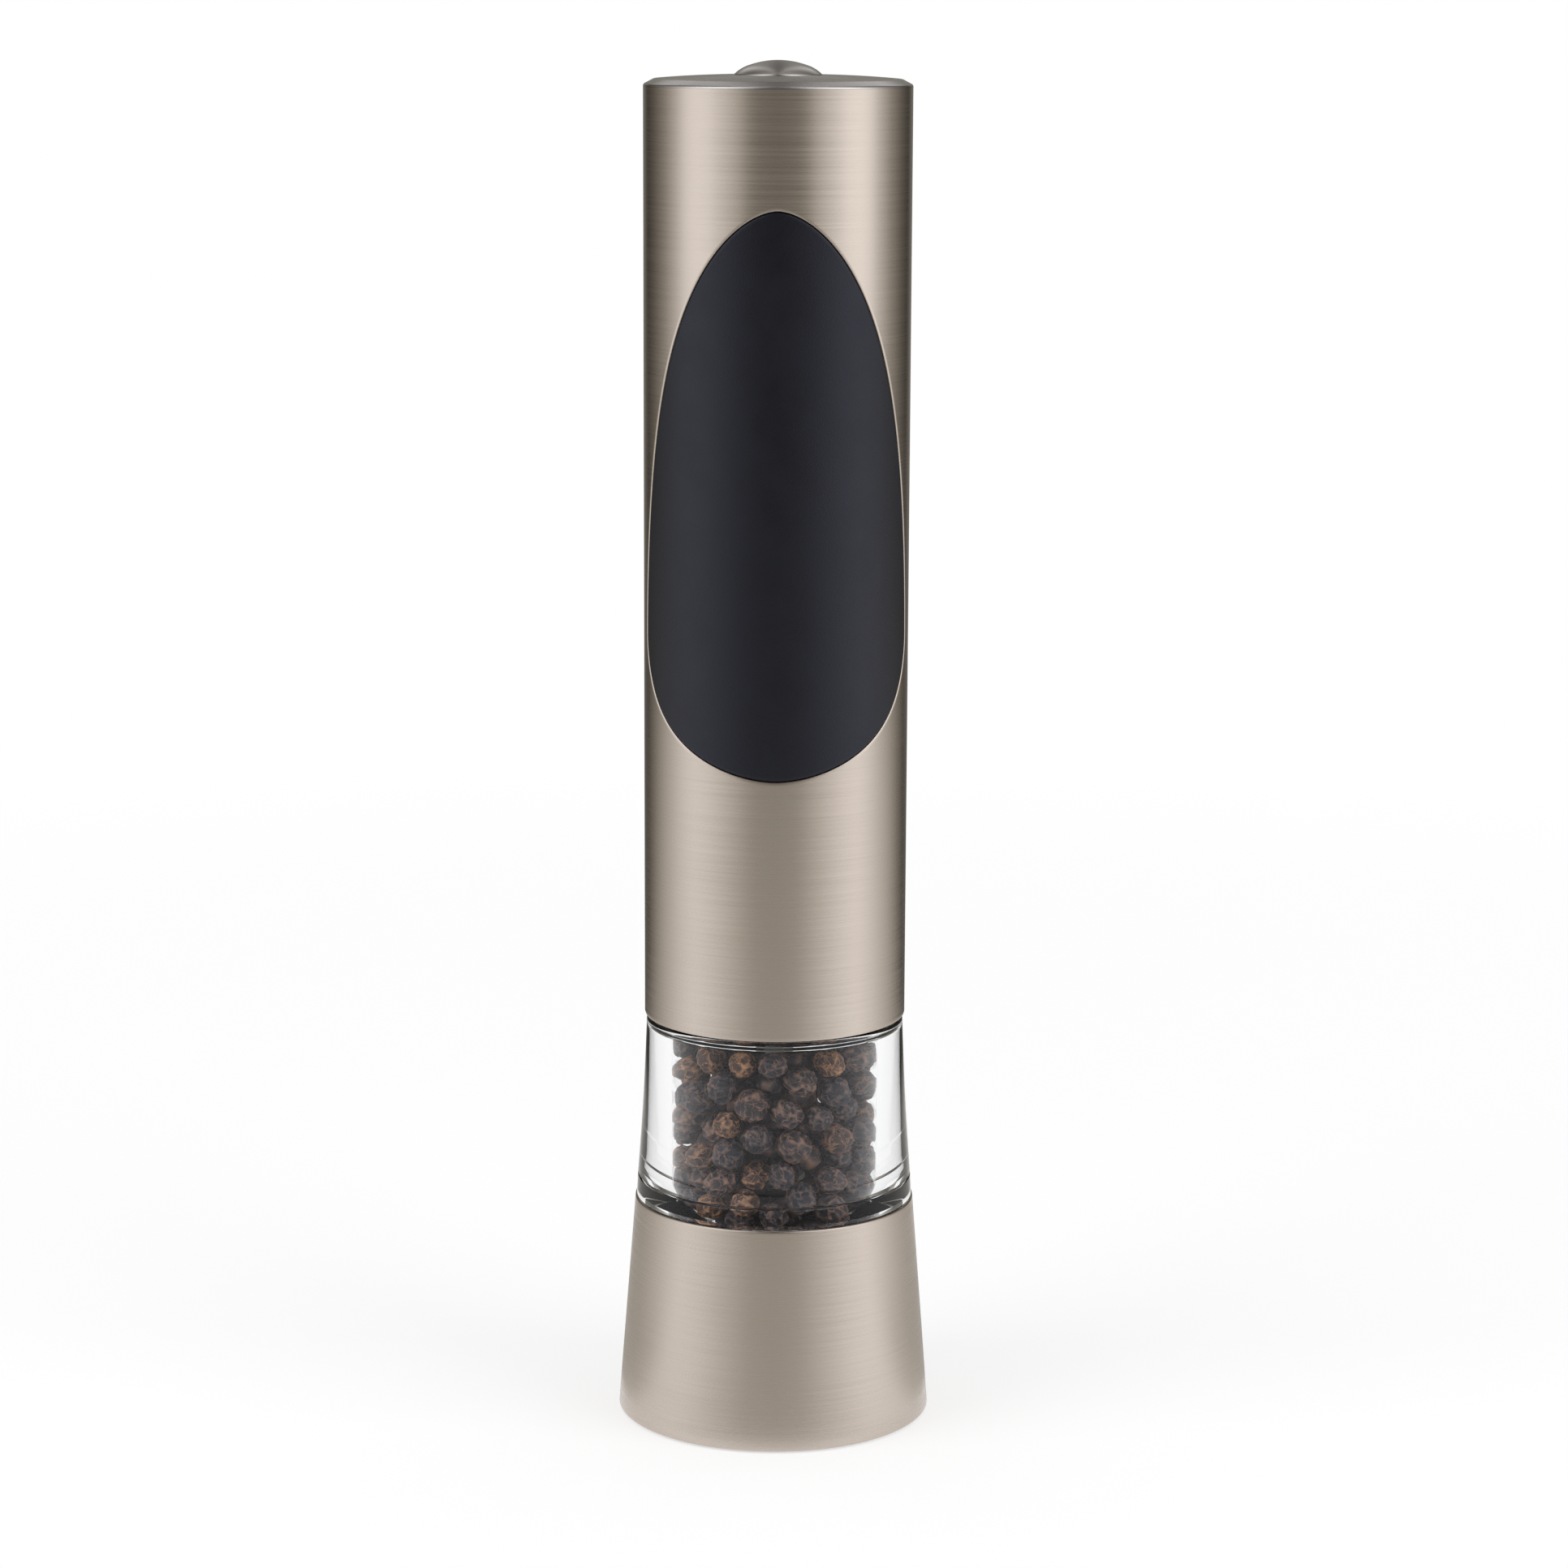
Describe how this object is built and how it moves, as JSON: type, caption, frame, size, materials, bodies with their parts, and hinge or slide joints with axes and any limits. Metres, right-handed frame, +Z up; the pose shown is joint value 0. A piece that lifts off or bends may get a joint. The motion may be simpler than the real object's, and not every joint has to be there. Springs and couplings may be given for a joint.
{
  "type": "pepper mill",
  "caption": "Battery pepper mill: flared steel base with ceramic burrs, clear chamber of peppercorns, steel shell with an inlaid grip, domed push button on top.",
  "frame": {"origin": "centre of the foot's underside, where the mill stands", "axes": "+Z up the mill's axis, -Y towards the front with the grip panel, +X to the front view's right"},
  "size_m": [0.05, 0.05, 0.215],
  "materials": {
    "base_steel": "brushed round the body",
    "shell_steel": "brushed round the body",
    "cap_steel": "spun, fine rings",
    "button_steel": "spun, fine rings",
    "grip_black": "soft-touch, fine grain",
    "chamber_clear": "clear, polished",
    "corn_dark": "dry, wrinkled",
    "foot_rubber": "matte",
    "seal_rubber": "satin",
    "black_plastic": "moulded",
    "grey_plastic": "moulded",
    "gear_nylon": "moulded",
    "burr_ceramic": "fired, unglazed",
    "plain_steel": "drawn",
    "spring_steel": "drawn wire",
    "bush_brass": "sintered",
    "contact_brass": "stamped",
    "cell_jacket": "plain sleeve",
    "magnet_ferrite": "sintered",
    "armature_iron": "laminated and wound"
  },
  "bodies": {
    "base": {"base_sleeve": "base_steel", "foot_ring": "foot_rubber", "grinder_housing": "black_plastic", "pepper_chamber": "chamber_clear", "neck_seal": "seal_rubber", "ceramic_ring": "burr_ceramic", "grinder_bridge": "grey_plastic", "bridge_screws": "plain_steel", "peppercorns": "corn_dark"},
    "knob": {"adjuster_knob": "black_plastic", "adjuster_stud": "plain_steel"},
    "thrust": {"thrust_cup": "gear_nylon"},
    "grinder_shaft": {"drive_shaft": "plain_steel", "shaft_clip": "gear_nylon", "cone_spring": "spring_steel"},
    "cone": {"ceramic_cone": "burr_ceramic"},
    "drive_unit": {"coupling_base": "black_plastic", "output_bush": "bush_brass", "gearbox_case": "grey_plastic", "gearbox_plate": "grey_plastic", "motor_screws": "plain_steel", "motor_can": "plain_steel", "motor_magnets": "magnet_ferrite", "motor_end_cap": "gear_nylon", "motor_terminals": "contact_brass", "core_half_right": "black_plastic", "core_half_left": "black_plastic", "core_screws": "plain_steel", "battery_carrier": "black_plastic", "cells_upright": "cell_jacket", "cells_inverted": "cell_jacket", "cell_springs_low": "spring_steel", "cell_springs_high": "spring_steel", "lower_contacts": "contact_brass", "upper_contacts": "contact_brass", "output_contacts": "contact_brass", "carrier_cap": "black_plastic", "switch_body": "grey_plastic"},
    "rotor": {"motor_shaft": "plain_steel", "motor_armature": "armature_iron", "motor_pinion": "bush_brass"},
    "first_stage": {"carrier_first": "gear_nylon", "pins_first": "plain_steel"},
    "output_stage": {"carrier_output": "gear_nylon", "pins_second": "plain_steel"},
    "shell": {"shell_tube": "shell_steel", "shell_liner": "black_plastic", "top_cap": "cap_steel", "grip_panel": "grip_black", "button_guide": "black_plastic", "button_spring": "spring_steel"},
    "button": {"button_dome": "button_steel", "button_stem": "gear_nylon"},
    "plunger": {"switch_plunger": "gear_nylon"},
    "planet_first_1_body": {"planet_first_1": "gear_nylon"},
    "planet_first_2_body": {"planet_first_2": "gear_nylon"},
    "planet_first_3_body": {"planet_first_3": "gear_nylon"},
    "planet_second_1_body": {"planet_second_1": "gear_nylon"},
    "planet_second_2_body": {"planet_second_2": "gear_nylon"},
    "planet_second_3_body": {"planet_second_3": "gear_nylon"}
  },
  "joints": [
    {"name": "unit_lift", "type": "slide", "parent": "base", "child": "drive_unit", "axis": [0, 0, 1], "range_m": [0, 0.04]},
    {"name": "shell_lift", "type": "slide", "parent": "drive_unit", "child": "shell", "axis": [0, 0, 1], "range_m": [0, 0.13]},
    {"name": "button_press", "type": "slide", "parent": "shell", "child": "button", "axis": [0, 0, -1], "range_m": [0, 0.0012], "stiffness_N_per_m": 1200, "springref_m": -0.0015, "deforming": ["button_spring"]},
    {"name": "switch_press", "type": "slide", "parent": "drive_unit", "child": "plunger", "axis": [0, 0, -1], "range_m": [0, 0.0012]},
    {"name": "motor_spin", "type": "hinge", "parent": "drive_unit", "child": "rotor", "pos_m": [0, 0, 0], "axis": [0, 0, 1], "continuous": true},
    {"name": "first_stage_spin", "type": "hinge", "parent": "drive_unit", "child": "first_stage", "pos_m": [0, 0, 0], "axis": [0, 0, 1], "continuous": true},
    {"name": "output_spin", "type": "hinge", "parent": "drive_unit", "child": "output_stage", "pos_m": [0, 0, 0], "axis": [0, 0, 1], "continuous": true},
    {"name": "shaft_spin", "type": "hinge", "parent": "base", "child": "grinder_shaft", "pos_m": [0, 0, 0], "axis": [0, 0, 1], "continuous": true},
    {"name": "thrust_lift", "type": "slide", "parent": "base", "child": "thrust", "axis": [0, 0, 1], "range_m": [0, 0.00075]},
    {"name": "adjuster_turn", "type": "hinge", "parent": "base", "child": "knob", "pos_m": [0, 0, 0], "axis": [0, 0, 1], "range_deg": [0, 270]},
    {"name": "cone_lift", "type": "slide", "parent": "grinder_shaft", "child": "cone", "axis": [0, 0, 1], "range_m": [0, 0.00075], "deforming": ["cone_spring"]},
    {"name": "planet_first_1_spin", "type": "hinge", "parent": "first_stage", "child": "planet_first_1_body", "pos_m": [0.009, 0, 0], "axis": [0, 0, 1], "continuous": true},
    {"name": "planet_first_2_spin", "type": "hinge", "parent": "first_stage", "child": "planet_first_2_body", "pos_m": [-0.0045, 0.00779, 0], "axis": [0, 0, 1], "continuous": true},
    {"name": "planet_first_3_spin", "type": "hinge", "parent": "first_stage", "child": "planet_first_3_body", "pos_m": [-0.0045, -0.00779, 0], "axis": [0, 0, 1], "continuous": true},
    {"name": "planet_second_1_spin", "type": "hinge", "parent": "output_stage", "child": "planet_second_1_body", "pos_m": [0.009, 0, 0], "axis": [0, 0, 1], "continuous": true},
    {"name": "planet_second_2_spin", "type": "hinge", "parent": "output_stage", "child": "planet_second_2_body", "pos_m": [-0.0045, 0.00779, 0], "axis": [0, 0, 1], "continuous": true},
    {"name": "planet_second_3_spin", "type": "hinge", "parent": "output_stage", "child": "planet_second_3_body", "pos_m": [-0.0045, -0.00779, 0], "axis": [0, 0, 1], "continuous": true}
  ],
  "couplings": [
    {"joint": "switch_press", "follows": "button_press", "ratio": 1},
    {"joint": "first_stage_spin", "follows": "motor_spin", "ratio": 0.2},
    {"joint": "output_spin", "follows": "motor_spin", "ratio": 0.04},
    {"joint": "shaft_spin", "follows": "motor_spin", "ratio": 0.04},
    {"joint": "adjuster_turn", "follows": "thrust_lift", "rad_per_m": 6283.2},
    {"joint": "cone_lift", "follows": "thrust_lift", "ratio": 1},
    {"joint": "planet_first_1_spin", "follows": "motor_spin", "ratio": -0.53333},
    {"joint": "planet_first_2_spin", "follows": "motor_spin", "ratio": -0.53333},
    {"joint": "planet_first_3_spin", "follows": "motor_spin", "ratio": -0.53333},
    {"joint": "planet_second_1_spin", "follows": "motor_spin", "ratio": -0.10667},
    {"joint": "planet_second_2_spin", "follows": "motor_spin", "ratio": -0.10667},
    {"joint": "planet_second_3_spin", "follows": "motor_spin", "ratio": -0.10667}
  ]
}
